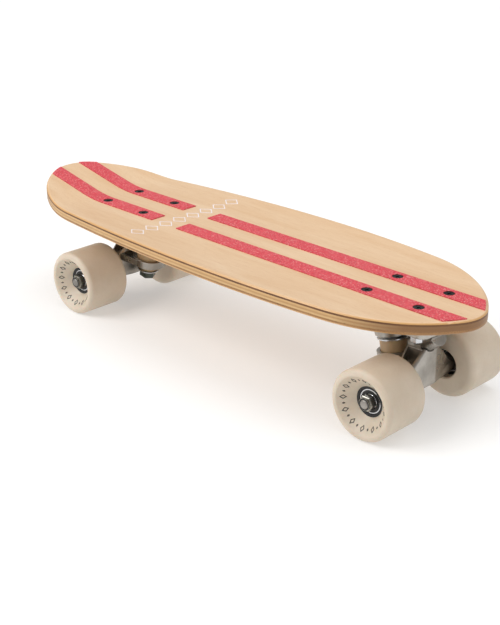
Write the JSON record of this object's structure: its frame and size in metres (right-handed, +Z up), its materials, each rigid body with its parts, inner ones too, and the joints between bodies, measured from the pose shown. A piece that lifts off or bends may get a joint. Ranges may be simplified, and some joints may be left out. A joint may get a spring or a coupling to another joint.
{
  "type": "cruiser skateboard",
  "caption": "Small maple skateboard with a kick tail, rounded nose, grit stripes, steering trucks and wide soft wheels on ball bearings.",
  "frame": {"origin": "on the ground, midway along the deck's length and on its centre line", "axes": "+X towards the rounded nose, +Z up, Y across the deck"},
  "size_m": [0.53, 0.174, 0.1182],
  "materials": {
    "maple_face": "pale maple veneer, satin lacquer",
    "maple_core": "maple veneer, cut edge",
    "maple_cross": "cross-grain veneer, dark cut edge",
    "grip": "red grit sheet, rough and speckled",
    "black_steel": "black oxide",
    "zinc_steel": "bright zinc",
    "dark_steel": "dark zinc",
    "cast_aluminium": "cast, tumbled satin",
    "riser": "matt black",
    "cup": "matt black",
    "bushing": "tan urethane",
    "urethane": "warm beige urethane, satin",
    "core": "black nylon",
    "bearing_steel": "ground steel",
    "shield": "black seal"
  },
  "bodies": {
    "deck": {"deck_bolts": "black_steel", "deck_nuts": "zinc_steel", "deck_ply_1": "maple_face", "deck_ply_2": "maple_cross", "deck_ply_3": "maple_core", "deck_ply_4": "maple_core", "deck_ply_5": "maple_core", "deck_ply_6": "maple_cross", "deck_ply_7": "maple_face", "grip_strip_front_left": "grip", "grip_strip_front_right": "grip", "grip_strip_tail_left": "grip", "grip_strip_tail_right": "grip", "riser_pads": "riser", "front_baseplate": "cast_aluminium", "front_pivot_cup": "cup", "front_kingpin": "dark_steel", "front_kingpin_nut": "dark_steel", "front_kingpin_washers": "zinc_steel", "front_board_bushing": "bushing", "front_road_bushing": "bushing", "rear_baseplate": "cast_aluminium", "rear_pivot_cup": "cup", "rear_kingpin": "dark_steel", "rear_kingpin_nut": "dark_steel", "rear_kingpin_washers": "zinc_steel", "rear_board_bushing": "bushing", "rear_road_bushing": "bushing"},
    "front_truck": {"front_hanger": "cast_aluminium", "front_axle": "zinc_steel", "front_speed_washers": "zinc_steel", "front_axle_nuts": "zinc_steel", "wheel_front_left_bearing_inner_rings": "bearing_steel", "wheel_front_right_bearing_inner_rings": "bearing_steel"},
    "wheel_front_left": {"wheel_front_left_tyre": "urethane", "wheel_front_left_core": "core", "wheel_front_left_bearing_outer_rings": "bearing_steel", "wheel_front_left_bearing_shields": "shield", "wheel_front_left_bearing_balls": "bearing_steel"},
    "wheel_front_right": {"wheel_front_right_tyre": "urethane", "wheel_front_right_core": "core", "wheel_front_right_bearing_outer_rings": "bearing_steel", "wheel_front_right_bearing_shields": "shield", "wheel_front_right_bearing_balls": "bearing_steel"},
    "rear_truck": {"rear_hanger": "cast_aluminium", "rear_axle": "zinc_steel", "rear_speed_washers": "zinc_steel", "rear_axle_nuts": "zinc_steel", "wheel_rear_left_bearing_inner_rings": "bearing_steel", "wheel_rear_right_bearing_inner_rings": "bearing_steel"},
    "wheel_rear_left": {"wheel_rear_left_tyre": "urethane", "wheel_rear_left_core": "core", "wheel_rear_left_bearing_outer_rings": "bearing_steel", "wheel_rear_left_bearing_shields": "shield", "wheel_rear_left_bearing_balls": "bearing_steel"},
    "wheel_rear_right": {"wheel_rear_right_tyre": "urethane", "wheel_rear_right_core": "core", "wheel_rear_right_bearing_outer_rings": "bearing_steel", "wheel_rear_right_bearing_shields": "shield", "wheel_rear_right_bearing_balls": "bearing_steel"}
  },
  "joints": [
    {"name": "front_steer", "type": "hinge", "parent": "deck", "child": "front_truck", "pos_m": [0.1828, 0, 0.0438], "axis": [0.809, 0, 0.5878], "range_deg": [-12, 12], "stiffness_Nm_per_rad": 30, "deforming": ["front_board_bushing", "front_road_bushing"]},
    {"name": "rear_steer", "type": "hinge", "parent": "deck", "child": "rear_truck", "pos_m": [-0.1368, 0, 0.0438], "axis": [-0.809, 0, 0.5878], "range_deg": [-12, 12], "stiffness_Nm_per_rad": 30, "deforming": ["rear_board_bushing", "rear_road_bushing"]},
    {"name": "wheel_front_left_spin", "type": "hinge", "parent": "front_truck", "child": "wheel_front_left", "pos_m": [0.21, 0.05575, 0.0315], "axis": [0, 1, 0], "continuous": true},
    {"name": "wheel_front_right_spin", "type": "hinge", "parent": "front_truck", "child": "wheel_front_right", "pos_m": [0.21, -0.05575, 0.0315], "axis": [0, 1, 0], "continuous": true},
    {"name": "wheel_rear_left_spin", "type": "hinge", "parent": "rear_truck", "child": "wheel_rear_left", "pos_m": [-0.164, 0.05575, 0.0315], "axis": [0, 1, 0], "continuous": true},
    {"name": "wheel_rear_right_spin", "type": "hinge", "parent": "rear_truck", "child": "wheel_rear_right", "pos_m": [-0.164, -0.05575, 0.0315], "axis": [0, 1, 0], "continuous": true}
  ]
}
